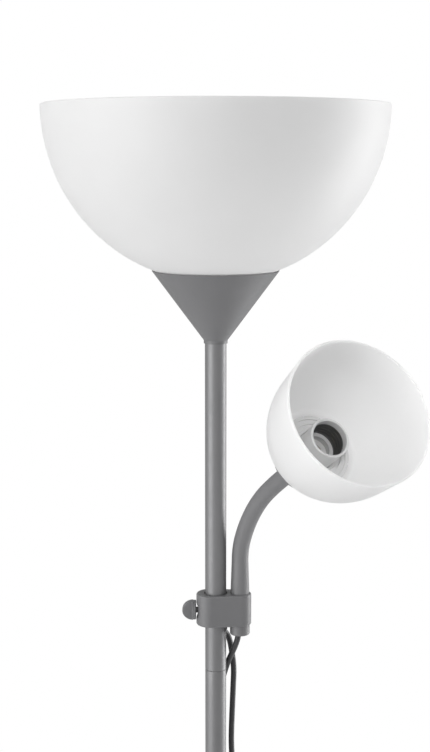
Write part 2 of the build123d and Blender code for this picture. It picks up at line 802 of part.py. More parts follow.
lead_split = (6.9, 11.2, bracket_bottom - 50.1)
lead_upper_route = [
    (arm_offset - 0.7, 0.0, bracket_bottom - 6.6),
    (arm_offset - 1.5, 0.0, bracket_bottom - 12.6),
    (16.2, 1.5, bracket_bottom - 21.8),
    (12.6, 4.3, bracket_bottom - 30.8),
    (9.4, 8.2, bracket_bottom - 40.0),
    lead_split,
]
lead_lower_route = [
    lead_split,
    (4.5, 14.08, bracket_bottom - 59.796),
    (1.7, 14.2, share_up(0.7692)),
    (0.9, 13.1, share_up(0.6895)),
    (1.6, 12.5, share_up(0.5509)),
    (3.2, 13.0, share_up(0.3604)),
    (10.2, 14.0, share_up(0.1767)),
    (entry_left_x, switch_y, straight_top_z),
    (entry_left_x, switch_y, entry_z),
]
cable_exit = (3.3, 5.716, cable_hole_z + 1.65)
flex_upper_route = [
    cable_exit,
    (6.9, 11.951, cable_hole_z - 3.39),
    (11.8, 14.5, cable_hole_z - 11.0),
    (14.1, 13.2, cable_hole_z - 23.6),
    (15.9, 11.2, cable_hole_z - 37.1),
    (15.3, 9.9, share_up(0.8177)),
    (14.6, 9.7, share_up(0.7554)),
    (13.9, 10.0, share_up(0.6895)),
    (13.6, 10.5, share_up(0.6272)),
    (15.3, 11.3, share_up(0.5336)),
    (18.4, 12.2, share_up(0.3742)),
    (25.6, 13.6, share_up(0.1836)),
    (entry_right_x, switch_y, straight_top_z),
    (entry_right_x, switch_y, entry_z),
]
inner_cable_route = [
    cable_exit,
    (0.5, 0.866, cable_hole_z + 5.57),
    (0.0, 0.0, cable_hole_z + 13.4),
    (0.0, 0.1, (cable_hole_z + pole_top) / 2),
    (0.0, 0.0, pole_top + gap),
]


# ================================================================ coil, ties and plug
def coil_point(quarter):
    """The coil's centre line after a number of quarter turns, counted from its top outer end."""
    turn = quarter * pi / 2
    cycle = coil_layer_quarters + coil_climb_quarters
    layer = min(int(quarter // cycle), coil_layers - 1)
    within = quarter - layer * cycle
    spiral = min(within, coil_layer_quarters) / 4 * coil_pitch
    widest = coil_layer_quarters / 4 * coil_pitch
    radius = coil_inner_radius + (widest - spiral if layer % 2 == 0 else spiral)
    climbed = max(0.0, within - coil_layer_quarters) / coil_climb_quarters
    eased = climbed * climbed * (3 - 2 * climbed)
    level = coil_layers - 1 - layer - eased
    height = coil_lift + cable_radius + level * coil_layer_pitch
    return Vector(coil_place[0] + radius * cos(turn), coil_place[1] + radius * sin(turn), height)


def coil_heading(quarter, total):
    """The direction of the coil's centre line there."""
    step = 0.01
    low, high = max(0.0, quarter - step), min(total, quarter + step)
    return (coil_point(high) - coil_point(low)).normalized()


def biarc(start, start_way, end, end_way):
    """Two arcs that join two points with given directions."""
    chord = end - start
    both = start_way + end_way
    bend = 2 * (1 - start_way.dot(end_way))
    if bend < 1e-9:
        reach = chord.length ** 2 / (2 * chord.dot(both))
    else:
        along = chord.dot(both)
        reach = (-along + sqrt(along ** 2 + bend * chord.length ** 2)) / bend
    middle = (start + start_way * reach + end - end_way * reach) / 2
    first = TangentArc(start, middle, tangent=start_way)
    second = TangentArc(middle, end, tangent=first % 1)
    return [first, second]


def coil_path():
    """The whole coil with its straight lead-in and the tail that runs to the plug."""
    total = round(coil_layers * coil_layer_quarters + (coil_layers - 1) * coil_climb_quarters)
    edges = []
    start, start_way = coil_point(0), Vector(0, 1, 0)
    edges.append(Line(start - start_way * 2 * cable_radius, start))
    for quarter in range(total):
        end = coil_point(quarter + 1)
        end_way = coil_heading(quarter + 1, total)
        edges += biarc(start, start_way, end, end_way)
        start, start_way = end, end_way
    plug_z = plug_thickness / 2 + seat_gap
    flat_way = Vector(start_way.X, start_way.Y, 0).normalized()
    tail_end = Vector(start.X, start.Y, plug_z) + flat_way * tail_length
    edges += biarc(start, start_way, tail_end, flat_way)
    finish = tail_end + flat_way * 2 * cable_radius
    edges.append(Line(tail_end, finish))
    return Wire(edges), finish, flat_way


def least_gap(path, skip):
    """The least distance between the tube's surface and itself, points nearer than skip left out."""
    count = ceil(path.length / 2.5)
    points = [path @ (i / count) for i in range(count + 1)]
    step = path.length / count
    apart = int(skip / step)
    least = 1e9
    for i, a in enumerate(points):
        for b in points[i + apart:]:
            least = min(least, (a - b).length)
    return least - 2 * cable_radius


def make_coil():
    path, plug_start, way = coil_path()
    start = Plane(origin=path @ 0, z_dir=path % 0)
    tube = sweep(start * Circle(cable_radius), path=path)
    expected = pi * cable_radius ** 2 * path.length
    print(f"coil: length {path.length:.1f} mm, volume / expected {tube.volume / expected:.4f}, "
          f"least gap to itself {least_gap(path, 60.0):.2f} mm")

    widest = coil_layer_quarters / 4 * coil_pitch
    low_z = coil_lift - gap - tie_thickness
    high_z = coil_lift + 2 * cable_radius + (coil_layers - 1) * coil_layer_pitch + gap + tie_thickness
    inner_r = coil_inner_radius - cable_radius - gap - tie_thickness
    outer_r = coil_inner_radius + widest + cable_radius + gap + tie_thickness
    size = (outer_r - inner_r, high_z - low_z)
    band = Rectangle(*size) - Rectangle(size[0] - 2 * tie_thickness, size[1] - 2 * tie_thickness)
    band = extrude(band, tie_width / 2, both=True)
    ties = []
    for turn in (-60.0, 200.0):
        place = Pos(coil_place[0], coil_place[1], (low_z + high_z) / 2) * Rot(0, 0, turn)
        ties.append(place * Pos((inner_r + outer_r) / 2, 0, 0) * Rot(90, 0, 0) * band)

    plane = Plane(origin=plug_start, x_dir=way.cross(Vector(0, 0, 1)) * -1, z_dir=way)
    rear = relief_length
    rear_section = Pos(0, 0, rear) * RectangleRounded(
        plug_rear_width, plug_rear_thickness, plug_rear_thickness * 0.4)
    shoulder_z = rear + plug_taper_length
    front_section = Pos(0, 0, shoulder_z) * RectangleRounded(
        plug_width, plug_thickness, plug_thickness * 0.42)
    body = loft([rear_section, front_section]) + extrude(front_section, plug_front_length)
    body = body + make_relief()
    front_z = shoulder_z + plug_front_length
    pins = []
    for side in (-1, 1):
        pin = Pos(side * pin_spacing / 2, 0, front_z + pin_length / 2) * Cylinder(pin_radius, pin_length)
        tip = pin.edges().filter_by(GeomType.CIRCLE).group_by(Axis.Z)[-1]
        pins.append(plane * fillet(tip, pin_rounding))
    return {
        "flex_coil": tube,
        "coil_ties": Compound(children=ties),
        "plug_body": plane * body,
        "plug_pins": Compound(children=pins),
    }


def make_relief():
    """A tapered sleeve on a cord, narrow at z = 0 and wide where it meets the housing above."""
    bore = cable_radius + relief_bore_gap
    return turned([
        (bore, 0),
        (relief_narrow_radius, 0),
        (relief_wide_radius, relief_length),
        (bore, relief_length),
    ])


# ================================================================ switch
def make_switch():
    """The two-rocker cord switch, upright, its rockers to the front."""
    width, depth, length = switch_size
    place = Pos(*switch_place)
    block = Box(width, depth, length)
    block = fillet(block.edges().filter_by(Axis.Z), switch_rounding)
    block = fillet(block.faces().filter_by(Axis.Z).edges(), case_end_rounding)
    inner = Box(width - 2 * switch_wall, depth - 2 * switch_wall, length - 2 * switch_wall)
    case = block - inner
    front_half = Pos(0, -depth / 2, 0) * Box(2 * width, depth, 2 * length)
    front = case & front_half
    back = case - front_half

    front_face = -depth / 2
    pivot_y = front_face + rocker_pivot_depth
    rocker_width, rocker_length = rocker_size
    window_width = rocker_width + 2 * wall_gap
    window_length = rocker_length + 2 * rocker_end_clearance
    rib_y = (front_face + switch_wall + front_face + switch_wall + bearing_depth) / 2
    rib_x = window_width / 2 + bearing_wall / 2
    rib_length = rocker_pitch + window_length + 2 * bearing_wall
    for side in (-1, 1):
        front = front + Pos(side * rib_x, rib_y, 0) * Box(bearing_wall, bearing_depth, rib_length)
    for side in (-1, 1):
        front = front - Pos(0, front_face, side * rocker_pitch / 2) * Box(window_width, 8 * switch_wall, window_length)
        bearing = Pos(0, pivot_y, side * rocker_pitch / 2) * Rot(0, 90, 0) * Cylinder(
            axle_radius + running_gap, window_width + 2 * bearing_wall + 1.0)
        front = front - bearing

    half = rocker_length / 2
    side_view = Polyline(
        (0, -rocker_end_rise, half),
        (0, -rocker_middle_rise, 0),
        (0, -rocker_end_rise, -half),
        (0, -1.0, -half),
        (0, rocker_belly, -half * 0.6),
        (0, rocker_belly, half * 0.6),
        (0, -1.0, half),
        close=True)
    rocker = extrude(make_face(side_view), rocker_width / 2, dir=(1, 0, 0), both=True)
    axle = Rot(0, 90, 0) * Cylinder(axle_radius, rocker_width + 2 * axle_length + 2 * wall_gap)
    rocker = Rot(rocker_tilt, 0, 0) * (rocker + axle)

    # each screw about its own Z: z = 0 is the split between the halves, -Z leads to the back
    back_face = -depth / 2
    head_seat = back_face + case_screw_recess
    screws = []
    for side in (-1, 1):
        spot = Pos(0, 0, side * case_screw_spacing / 2) * Rot(90, 0, 0)
        back = back + spot * disc(case_screw_head + case_boss_wall, back_face + switch_wall / 2, 0)
        back = back - spot * disc(case_screw_head + seat_gap, back_face - 1, head_seat)
        back = back - spot * disc(case_screw_radius + seat_gap, back_face - 1, 1)
        post = disc(case_screw_radius + case_boss_wall, 0, -back_face - switch_wall / 2)
        front = front + spot * (post - disc(case_screw_radius + seat_gap, -1, case_screw_reach + gap))
        head = disc(case_screw_head, head_seat - case_screw_head_height, head_seat)
        screws.append(place * spot * (head + disc(case_screw_radius, head_seat, case_screw_reach)))

    reliefs = [
        Pos(x, switch_y, entry_z + relief_length) * Rot(180, 0, 0) * make_relief()
        for x in (entry_left_x, entry_right_x)
    ]
    reliefs.append(Pos(switch_x, switch_y, exit_z - relief_length) * make_relief())

    parts = {
        "switch_front": place * front,
        "switch_back": place * back,
        "switch_screws": Compound(children=screws),
        "switch_reliefs": Compound(children=reliefs),
    }
    for number, side in ((1, 1), (2, -1)):
        parts[f"switch_rocker_{number}"] = place * Pos(0, pivot_y, side * rocker_pitch / 2) * rocker
    return parts


flex_lower_route_head = [
    (switch_x, switch_y, exit_z),
    (switch_x, switch_y, straight_low_z),
    (30.9, 20.2, 800.0),
    (32.2, 28.0, 742.0),
    (33.2, 37.4, 682.0),
    (35.0, 45.0, 620.0),
    (37.2, 51.0, 558.0),
    (38.6, 58.6, 496.0),
    (39.6, 68.4, 434.0),
    (42.0, 77.4, 372.0),
    (45.2, 85.2, 310.0),
    (47.6, 94.0, 248.0),
    (49.6, 104.6, 188.0),
    (51.2, 116.4, 132.0),
    (52.2, 128.4, 84.0),
    (52.7, 140.0, 52.0),
    (52.9, 154.0, 31.5),
]


def flex_lower_points():
    """The route from the switch to the coil, where it arrives level."""
    arrive = coil_point(0) - Vector(0, 2 * cable_radius, 0)
    level = [(arrive.X, arrive.Y - 12.0, arrive.Z), (arrive.X, arrive.Y, arrive.Z)]
    return flex_lower_route_head + level


# ================================================================ the whole lamp
def build():
    parts = {}
    parts.update(make_base())
    parts.update(make_pole())
    parts.update(make_cone())
    parts["lock_nuts"] = Compound(children=[parts.pop("base_nut"), parts.pop("cone_nut")])
    parts.update(make_bowl())
    parts.update(make_bracket())
    parts.update(make_arm_root())
    parts.update(make_neck())

    head = head_plane()
    for name, solid in make_head().items():
        parts[name] = head * solid
    for piece, solid in make_holder().items():
        parts[f"uplight_{piece}"] = Pos(0, 0, bowl_seat) * solid
        parts[f"reading_{piece}"] = head * Rot(0, 0, reading_holder_turn) * solid

    parts.update(make_switch())
    parts.update(make_coil())
    parts["lead_upper"] = cord_tube("lead_upper", lead_upper_route)
    parts["lead_lower"] = cord_tube("lead_lower", lead_lower_route)
    parts["flex_upper"] = cord_tube("flex_upper", flex_upper_route)
    parts["flex_lower"] = cord_tube("flex_lower", flex_lower_points())
    parts["inner_cable"] = cord_tube("inner_cable", inner_cable_route)
    return parts


os.makedirs("parts", exist_ok=True)
for node, solid in build().items():
    export_step(solid, f"parts/{node}.step")
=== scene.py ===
import math

import bpy
from mathutils import Matrix, Vector


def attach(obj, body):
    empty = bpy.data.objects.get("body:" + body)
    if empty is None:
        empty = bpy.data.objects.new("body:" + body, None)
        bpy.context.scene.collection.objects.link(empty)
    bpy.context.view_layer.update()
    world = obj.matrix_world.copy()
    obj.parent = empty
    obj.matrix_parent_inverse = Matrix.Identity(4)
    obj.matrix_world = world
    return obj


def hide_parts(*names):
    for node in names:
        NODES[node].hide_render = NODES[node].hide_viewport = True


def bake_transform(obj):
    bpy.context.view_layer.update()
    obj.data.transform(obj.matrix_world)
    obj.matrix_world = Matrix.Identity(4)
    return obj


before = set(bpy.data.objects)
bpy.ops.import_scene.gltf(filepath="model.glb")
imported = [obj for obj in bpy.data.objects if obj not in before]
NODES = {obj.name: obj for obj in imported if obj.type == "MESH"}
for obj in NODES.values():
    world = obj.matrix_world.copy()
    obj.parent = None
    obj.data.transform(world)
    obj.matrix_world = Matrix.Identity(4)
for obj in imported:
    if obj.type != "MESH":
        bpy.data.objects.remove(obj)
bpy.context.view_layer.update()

MM = 0.001


# ---------------------------------------------------------------- camera
# The pole stands in the plane y = 0. The eye is 1.73 m up and looks a little down.
picture_height = 752.0
focal_pixels = 1373.0
centre_shift_pixels = -0.7
sensor_width = 36.0
eye = (0.0, -1.1313, 1.7323)
look_down_deg = 8.78
near_clip, far_clip = 0.02, 60.0


def make_camera():
    data = bpy.data.cameras.new("camera")
    cam = bpy.data.objects.new("camera", data)
    bpy.context.scene.collection.objects.link(cam)
    data.sensor_fit = "AUTO"
    data.sensor_width = sensor_width
    data.lens = sensor_width * focal_pixels / picture_height
    data.shift_x = centre_shift_pixels / picture_height
    cam.location = eye
    cam.rotation_euler = (math.radians(90.0 - look_down_deg), 0.0, 0.0)
    data.clip_start, data.clip_end = near_clip, far_clip
    bpy.context.scene.camera = cam


# ---------------------------------------------------------------- sizes repeated from the part, in mm
bowl_radius, bowl_deep, bowl_wall = 141.5, 144.0, 2.2
bowl_seat, bowl_rim = 1639.3, 1780.026

head_origin = Vector((74.043, -105.144, 1514.622))
head_axis = Vector((0.38115, -0.7513, 0.53877)).normalized()
head_x = Vector((0.24376, -0.48047, -0.84245)).normalized()
head_y = head_axis.cross(head_x).normalized()

shade_rim_r, shade_deep, shade_wall, shade_floor = 57.86, 78.0, 2.0, 2.2
shade_taper, shade_straight, shade_round = math.radians(5.4), 32.0, 80.0
shade_hole_r = 16.2
rim_rounding = 0.9

pole_outer_r, pole_inner_r = 9.0, 8.0
section_length, first_section_z, lower_sections = 317.0, 34.7, 4
pole_end_rounding = 0.8

cable_r = 2.5

neck_x, neck_first_pivot_z, neck_link = 20.7, 1398.0, 22.0
neck_bends = (26.0, 10.5, 9.0, 8.5, 3.4, 0.0)
neck_lean_deg = 63.1
neck_r, boot_r = 7.12, 7.95
boot_length, boot_taper = 27.8, 24.8
neck_end = 13.6


# ---------------------------------------------------------------- places
def frame_matrix(origin, x, y, z):
    """A matrix from local millimetres to the row frame in metres."""
    m = Matrix((x, y, z)).transposed().to_4x4()
    return Matrix.Translation(Vector(origin) * MM) @ m @ Matrix.Scale(MM, 4)


HEAD = frame_matrix(head_origin, head_x, head_y, head_axis)
UP = Matrix.Scale(MM, 4)


def at_height(z):
    return Matrix.Translation((0, 0, z * MM)) @ UP


# ---------------------------------------------------------------- meshes
def add_mesh(name, points, faces, smooth=True):
    mesh = bpy.data.meshes.new(name)
    mesh.from_pydata([tuple(p) for p in points], [], faces)
    mesh.validate()
    if smooth:
        mesh.shade_smooth()
    obj = bpy.data.objects.new(name, mesh)
    bpy.context.scene.collection.objects.link(obj)
    return obj


def soften(obj, angle):
    """Smooth shading with the corners above the angle kept sharp."""
    mesh = obj.data
    mesh.shade_smooth()
    mesh.set_sharp_from_angle(angle=math.radians(angle))


def lathe(name, outline, matrix, steps):
    """A body of revolution about local Z from a closed ring of (radius, height) points, in millimetres."""
    points, faces = [], []
    rows = len(outline)
    for k in range(steps):
        c, s = math.cos(2 * math.pi * k / steps), math.sin(2 * math.pi * k / steps)
        points += [matrix @ Vector((r * c, r * s, z)) for r, z in outline]
    for k in range(steps):
        here, there = k * rows, (k + 1) % steps * rows
        for i in range(rows):
            j = (i + 1) % rows
            faces.append((here + i, there + i, there + j, here + j))
    return add_mesh(name, points, faces)


def rounded_rim(r_out, r_in, z):
    """The points over a rim from the outer wall to the inner one."""
    middle, half = (r_out + r_in) / 2, (r_out - r_in) / 2
    steps = 10
    return [(middle + half * math.cos(a), z - rim_rounding + rim_rounding * math.sin(a))
            for a in [math.pi * k / steps for k in range(steps + 1)]]


def shade_outline(outside, rim, inside, seat_z, floor_z, seat_edge, floor_edge):
    """The ring of points of a shade with a flat seat, a floor inside it and the holder's hole.

    Each edge is (far, near, rise), the corner's rounding out from the wall and up it.
    """
    wall_out, wall_in = outside[0][0], inside[-1][0]
    far, near, rise = seat_edge
    outline = [(shade_hole_r, seat_z), (wall_out - far, seat_z), (wall_out - near, seat_z + rise)]
    outline += outside[1:-1] + rim + inside[1:-1]
    far, near, rise = floor_edge
    return outline + [(wall_in - near, floor_z + rise), (wall_in - far, floor_z), (shade_hole_r, floor_z)]


# ---------------------------------------------------------------- the two shades
def bowl_curve(inset, low_z):
    """Points up the bowl's ellipse, moved inwards by inset."""
    count = 56
    wide, deep = bowl_radius - inset, bowl_deep - inset
    start = math.asin((bowl_rim - low_z) / deep)
    return [(wide * math.cos(a), bowl_rim - deep * math.sin(a))
            for a in [start * (1 - k / count) for k in range(count + 1)]]


def make_bowl():
    """The uplight's open bowl, finer than the CAD mesh."""
    floor_z, set_back = bowl_seat + bowl_wall, 0.05
    outside = bowl_curve(0, bowl_seat)
    inside = bowl_curve(bowl_wall, floor_z)[::-1]
    rim = rounded_rim(bowl_radius - set_back, bowl_radius - bowl_wall + set_back, bowl_rim)
    outline = shade_outline(outside, rim, inside, bowl_seat, floor_z, (2.0, 0.6, 0.35), (2.4, 0.8, 0.3))
    obj = lathe("bowl", outline, UP, 224)
    soften(obj, 50)
    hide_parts("bowl_shade")
    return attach(obj, "stand")


def shade_curve(inset, low_z, top_z):
    """Points up the reading shade's wall: one round arc, then the slight taper to the rim."""
    round_steps, straight_steps = 40, 12
    knee = Vector((shade_rim_r - shade_straight * math.tan(shade_taper), shade_deep - shade_straight))
    inward = Vector((-math.cos(shade_taper), math.sin(shade_taper)))
    centre = knee + inward * shade_round
    radius = shade_round - inset
    knee_angle = -shade_taper
    low_angle = -math.asin((centre.y - low_z) / radius)
    points = []
    for k in range(round_steps + 1):
        a = low_angle + (knee_angle - low_angle) * k / round_steps
        points.append((centre.x + radius * math.cos(a), centre.y + radius * math.sin(a)))
    last = points[-1]
    for k in range(1, straight_steps + 1):
        z = last[1] + (top_z - last[1]) * k / straight_steps
        points.append((last[0] + (z - last[1]) * math.tan(shade_taper), z))
    return points


def make_reading_shade():
    """The reading light's shade, finer than the CAD mesh."""
    top = shade_deep - rim_rounding
    outside = shade_curve(0, 0.0, top)
    inside = shade_curve(shade_wall, shade_floor, top)[::-1]
    rim = rounded_rim(outside[-1][0], inside[0][0], shade_deep)
    outline = shade_outline(outside, rim, inside, 0.0, shade_floor, (2.2, 0.7, 0.4), (1.6, 0.6, 0.3))
    obj = lathe("reading_bell", outline, HEAD, 192)
    soften(obj, 50)
    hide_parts("reading_shade")
    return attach(obj, "reading_head")


# ---------------------------------------------------------------- pole and threads
def make_pole_sections(paint_on):
    """The lower tubes with their softly rounded ends, which show as a fine line at each joint."""
    soft, corner_steps, rings = pole_end_rounding, 4, 12
    corner_r = pole_outer_r - soft
    for number in range(lower_sections):
        low = first_section_z + number * section_length
        high = low + section_length
        outline = [(pole_inner_r, low), (corner_r, low)]
        for k in range(1, corner_steps + 1):
            a = math.pi / 2 * k / corner_steps
            outline.append((corner_r + soft * math.sin(a), low + soft - soft * math.cos(a)))
        outline += [(pole_outer_r, low + section_length * k / rings) for k in range(1, rings)]
        for k in range(corner_steps + 1):
            a = math.pi / 2 * k / corner_steps
            outline.append((corner_r + soft * math.cos(a), high - soft + soft * math.sin(a)))
        outline.append((pole_inner_r, high))
        tube = lathe(f"pole_tube_{number + 1}", outline, UP, 96)
        soften(tube, 60)
        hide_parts(f"pole_section_{number + 1}")
        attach(tube, "stand")
        tube.data.materials.append(paint_on)


def make_thread_shell(name, matrix, replaced, body, metal_on):
    """A lampholder's screw shell with its rolled thread, about the holder's own Z."""
    low, high, mean_r, depth, pitch, wall = 7.6, 23.8, 13.35, 0.33, 3.62, 0.3
    run_out = 2.0
    around, rows = 96, 96
    points, faces = [], []
    for offset in (0.0, wall):
        for i in range(rows + 1):
            z = low + (high - low) * i / rows
            fade = min(1.0, (z - low) / run_out, (high - z) / run_out)
            for k in range(around):
                turn = k / around
                r = mean_r + offset + depth * fade * math.cos(2 * math.pi * (z / pitch - turn))
                points.append(matrix @ Vector((r * math.cos(2 * math.pi * turn),
                                               r * math.sin(2 * math.pi * turn), z)))
    block = (rows + 1) * around
    for i in range(rows):
        for k in range(around):
            j = (k + 1) % around
            a, b, c, d = i * around + k, i * around + j, (i + 1) * around + j, (i + 1) * around + k
            faces.append((a, d, c, b))
            faces.append((block + a, block + b, block + c, block + d))
    top = rows * around
    for k in range(around):
        j = (k + 1) % around
        faces.append((k, j, block + j, block + k))
        faces.append((top + k, block + top + k, block + top + j, top + j))
    shell = add_mesh(name, points, faces)
    soften(shell, 50)
    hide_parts(replaced)
    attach(shell, body)
    shell.data.materials.append(metal_on)


# ---------------------------------------------------------------- the flexible arm's sleeve
def arc_point(place, tilt, turn, part, lean, up):
    """The point and direction after a part of one link, which turns evenly along its length."""
    a = tilt + turn * part
    way = up * math.cos(a) + lean * math.sin(a)
    if turn < 0.001:
        return place + way * (neck_link * part), way
    size = neck_link / turn
    across = lean * size * (math.cos(tilt) - math.cos(a))
    return place + across + up * size * (math.sin(a) - math.sin(tilt)), way


def neck_line():
    """The arm's centre line from the clamp to the head as (distance, point, direction) samples."""
    lean_turn = math.radians(neck_lean_deg)
    lean = Vector((math.cos(lean_turn), -math.sin(lean_turn), 0))
    up = Vector((0, 0, 1))
    samples = []
    place = Vector((neck_x, 0, neck_first_pivot_z))
    boot_steps, link_steps, end_steps = 14, 22, 8
    for k in range(boot_steps):
        back = boot_length * (1 - k / boot_steps)
        samples.append((-back, place - up * back, up))
    tilt, passed = 0.0, 0.0
    for bend in neck_bends:
        turn = math.radians(bend)
        for k in range(link_steps):
            part = k / link_steps
            point, way = arc_point(place, tilt, turn, part, lean, up)
            samples.append((passed + neck_link * part, point, way))
        place, way = arc_point(place, tilt, turn, 1.0, lean, up)
        tilt += turn
        passed += neck_link
    for k in range(end_steps + 1):
        d = neck_end * k / end_steps
        samples.append((passed + d, place + way * d, way))
    return samples


def sleeve_radius(d):
    """The boot's slight taper up to the first pivot, then the sleeve."""
    if d < -boot_taper:
        return boot_r
    if d < 0:
        return boot_r + (neck_r - boot_r) * (d + boot_taper) / boot_taper
    return neck_r


def make_sleeve(paint_on):
    """One smooth skin in seven pieces, each shaped round one pivot of the arm; they are baked where they
    stand and hung on no body.
    """
    samples = neck_line()
    lean_turn = math.radians(neck_lean_deg)
    side = Vector((math.sin(lean_turn), math.cos(lean_turn), 0))
    links = len(neck_bends)
    cuts = [-boot_length] + [neck_link * (i + 0.5) for i in range(links)] + [neck_link * links + neck_end]
    steps, near, reach = 40, 0.01, 8.5
    for i in range(links + 1):
        rows = [s for s in samples if cuts[i] - near <= s[0] <= cuts[i + 1] + near]
        points, faces = [], []
        for d, p, way in rows:
            out = side.cross(way)
            for k in range(steps):
                a = 2 * math.pi * k / steps
                points.append((p + (side * math.cos(a) + out * math.sin(a)) * sleeve_radius(d)) * MM)
        for r in range(len(rows) - 1):
            for k in range(steps):
                j = (k + 1) % steps
                faces.append((r * steps + k, (r + 1) * steps + k, (r + 1) * steps + j, r * steps + j))
        if i == 0:
            faces.append(tuple(range(steps)))
        if i == links:
            faces.append(tuple(reversed([(len(rows) - 1) * steps + k for k in range(steps)])))
        obj = add_mesh(f"arm_sleeve_{i + 1}", points, faces)
        soften(obj, 60)
        _, pivot, way = [s for s in samples if abs(s[0] - neck_link * i) < near][0]
        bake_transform(obj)
        hidden = ["arm_boot"] if i == 0 else []
        if i < links:
            hidden.append(f"neck_segment_{i + 1}")
        if hidden:
            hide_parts(*hidden)
        obj.data.materials.append(paint_on)


# ---------------------------------------------------------------- cords
lead_split = (6.9, 11.2, 1292.5)
lead_upper_route = [
    (20.0, 0.0, 1336.0), (19.2, 0.0, 1330.0), (16.2, 1.5, 1320.8), (12.6, 4.3, 1311.8),
    (9.4, 8.2, 1302.6), lead_split]
lead_lower_route = [
    lead_split, (4.5, 14.08, 1282.804), (1.7, 14.2, 1270.0), (0.9, 13.1, 1247.0),
    (1.6, 12.5, 1207.0), (3.2, 13.0, 1152.0), (10.2, 14.0, 1099.0), (23.0, 15.0, 1048.0),
    (23.0, 15.0, 1000.0)]
flex_upper_route = [
    (3.3, 5.716, 1338.25), (6.9, 11.951, 1333.21), (11.8, 14.5, 1325.6), (14.1, 13.2, 1313.0),
    (15.9, 11.2, 1299.5), (15.3, 9.9, 1284.0), (14.6, 9.7, 1266.0), (13.9, 10.0, 1247.0),
    (13.6, 10.5, 1229.0), (15.3, 11.3, 1202.0), (18.4, 12.2, 1156.0), (25.6, 13.6, 1101.0),
    (37.0, 15.0, 1048.0), (37.0, 15.0, 1000.0)]
flex_lower_route = [
    (30.0, 15.0, 900.0), (30.0, 15.0, 852.0), (30.9, 20.2, 800.0), (32.2, 28.0, 742.0),
    (33.2, 37.4, 682.0), (35.0, 45.0, 620.0), (37.2, 51.0, 558.0), (38.6, 58.6, 496.0),
    (39.6, 68.4, 434.0), (42.0, 77.4, 372.0), (45.2, 85.2, 310.0), (47.6, 94.0, 248.0),
    (49.6, 104.6, 188.0), (51.2, 116.4, 132.0), (52.2, 128.4, 84.0), (52.7, 140.0, 52.0),
    (52.9, 154.0, 31.5)]
coil_place, coil_inner, coil_pitch, coil_layer_pitch = (20.0, 190.0), 23.6, 6.3, 6.0
coil_layers, coil_layer_quarters, coil_climb_quarters, coil_lift = 4, 5.75, 2, 1.2
coil_quarters, coil_step, coil_swell = 29, 0.25, 0.4
plug_height, plug_lift = 13.7, 0.1


def coil_point(quarter, swell=0.0):
    """The coil's centre line after a number of quarter turns, from its top outer end."""
    turn = quarter * math.pi / 2
    cycle = coil_layer_quarters + coil_climb_quarters
    layer = min(int(quarter // cycle), coil_layers - 1)
    within = quarter - layer * cycle
    spiral = min(within, coil_layer_quarters) / 4 * coil_pitch
    widest = coil_layer_quarters / 4 * coil_pitch
    radius = coil_inner + (widest - spiral if layer % 2 == 0 else spiral) + swell
    climbed = max(0.0, within - coil_layer_quarters) / coil_climb_quarters
    eased = climbed * climbed * (3 - 2 * climbed)
    height = coil_lift + cable_r + (coil_layers - 1 - layer - eased) * coil_layer_pitch
    return (coil_place[0] + radius * math.cos(turn), coil_place[1] + radius * math.sin(turn), height)


def mains_route():
    """From the switch down to the coil, through its turns and out to the plug."""
    x, y, z = coil_point(0)
    route = list(flex_lower_route) + [(x, y - 17.0, z), (x, y - 5.0, z)]
    route += [coil_point(k * coil_step, coil_swell) for k in range(int(coil_quarters / coil_step) + 1)]
    x, y, z = route[-1]
    plug_z = plug_height / 2 + plug_lift
    rise = plug_z - z
    return route + [(x - 12.0, y, z + 0.1 * rise), (x - 24.0, y, z + 0.75 * rise),
                    (x - 36.0, y, plug_z), (x - 48.0, y, plug_z)]


def nurbs(name, route, bevel=None):
    """A smooth cord on the route's points, in metres."""
    data = bpy.data.curves.new(name, "CURVE")
    data.dimensions = "3D"
    spline = data.splines.new("NURBS")
    spline.points.add(len(route) - 1)
    for point, place in zip(spline.points, route):
        point.co = (place[0] * MM, place[1] * MM, place[2] * MM, 1.0)
    spline.order_u = 3
    spline.use_endpoint_u = True
    spline.resolution_u = 8
    if bevel:
        data.bevel_depth = bevel * MM
        data.bevel_resolution = 5
        data.use_fill_caps = True
    obj = bpy.data.objects.new(name, data)
    bpy.context.scene.collection.objects.link(obj)
    return obj


def line_of(route):
    """The points of the route's own smooth line, in metres."""
    plain = nurbs("line", route)
    bpy.context.view_layer.update()
    mesh = bpy.data.meshes.new_from_object(plain.evaluated_get(bpy.context.evaluated_depsgraph_get()))
    points = [v.co.copy() for v in mesh.vertices]
    bpy.data.meshes.remove(mesh)
    bpy.data.objects.remove(plain)
    return points


def tube_mesh(name, points, radius):
    """A round tube on the points, in metres, its section carried along without a twist."""
    steps = 20
    ways = []
    for i in range(len(points)):
        a, b = points[max(0, i - 1)], points[min(len(points) - 1, i + 1)]
        ways.append((b - a).normalized())
    side = ways[0].orthogonal().normalized()
    verts, faces = [], []
    for point, way in zip(points, ways):
        side = (side - way * side.dot(way)).normalized()
        other = way.cross(side)
        for k in range(steps):
            a = 2 * math.pi * k / steps
            verts.append(point + (side * math.cos(a) + other * math.sin(a)) * radius)
    for r in range(len(points) - 1):
        for k in range(steps):
            j = (k + 1) % steps
            faces.append((r * steps + k, r * steps + j, (r + 1) * steps + j, (r + 1) * steps + k))
    faces.append(tuple(reversed(range(steps))))
    faces.append(tuple((len(points) - 1) * steps + k for k in range(steps)))
    obj = add_mesh(name, verts, faces)
    soften(obj, 60)
    return obj


